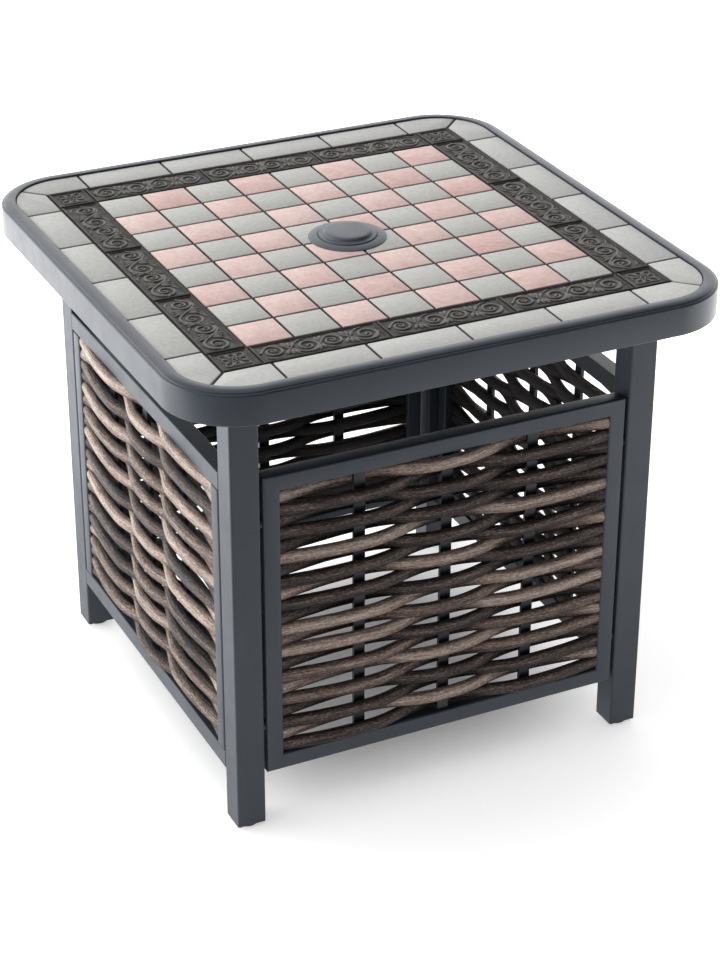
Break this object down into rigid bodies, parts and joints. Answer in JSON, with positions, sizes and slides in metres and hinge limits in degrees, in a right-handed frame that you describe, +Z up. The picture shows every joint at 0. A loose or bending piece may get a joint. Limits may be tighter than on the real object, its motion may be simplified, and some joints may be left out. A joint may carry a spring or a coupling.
{
  "type": "patio side table",
  "caption": "Square patio side table with a tiled top, a plugged umbrella hole and woven panels on four straight legs.",
  "frame": {"origin": "centre of the table's footprint on the floor, under the feet", "axes": "+Z up along the umbrella hole, -Y towards the front panel, -X towards the left side frame"},
  "size_m": [0.559, 0.559, 0.5028],
  "materials": {
    "rim_paint": "satin powder coat",
    "lip_paint": "satin powder coat",
    "board_wood": "sealed board",
    "grout_cement": "matt cement",
    "border_tile": "matt porcelain",
    "relief_tile": "matt relief tile",
    "pink_tile": "matt porcelain",
    "grey_tile": "matt porcelain",
    "ring_plastic": "satin",
    "plug_plastic": "satin",
    "brace_paint": "satin powder coat",
    "leg_paint": "satin powder coat",
    "frame_paint": "satin powder coat",
    "strap_paint": "satin powder coat",
    "glide_plastic": "matt",
    "strand_even": "grained resin",
    "strand_odd": "grained resin"
  },
  "bodies": {
    "table": {"top_apron": "rim_paint", "top_lip": "lip_paint", "tile_board": "board_wood", "grout": "grout_cement", "tiles_border": "border_tile", "tiles_scroll": "relief_tile", "tiles_corner": "relief_tile", "tiles_pink": "pink_tile", "tiles_grey": "grey_tile", "hole_ring": "ring_plastic", "pole_guide": "brace_paint", "brace_left": "brace_paint", "brace_right": "brace_paint", "brace_front": "brace_paint", "brace_back": "brace_paint", "brace_middle": "brace_paint", "leg_front_left": "leg_paint", "leg_front_right": "leg_paint", "leg_back_left": "leg_paint", "leg_back_right": "leg_paint", "foot_glides": "glide_plastic", "left_top_rail": "frame_paint", "left_low_rail": "frame_paint", "left_infill_bars": "frame_paint", "left_straps": "strap_paint", "left_strands_even": "strand_even", "left_strands_odd": "strand_odd", "right_top_rail": "frame_paint", "right_low_rail": "frame_paint", "right_infill_bars": "frame_paint", "right_straps": "strap_paint", "right_strands_even": "strand_even", "right_strands_odd": "strand_odd", "front_top_bar": "frame_paint", "front_low_bar": "frame_paint", "front_side_bars": "frame_paint", "front_straps": "strap_paint", "front_strands_even": "strand_even", "front_strands_odd": "strand_odd", "back_top_bar": "frame_paint", "back_low_bar": "frame_paint", "back_side_bars": "frame_paint", "back_straps": "strap_paint", "back_strands_even": "strand_even", "back_strands_odd": "strand_odd", "panel_spacers": "brace_paint"},
    "plug": {"hole_plug": "plug_plastic"}
  },
  "joints": [
    {"name": "plug_lift", "type": "slide", "parent": "table", "child": "plug", "axis": [0, 0, 1], "range_m": [0, 0.04]}
  ]
}
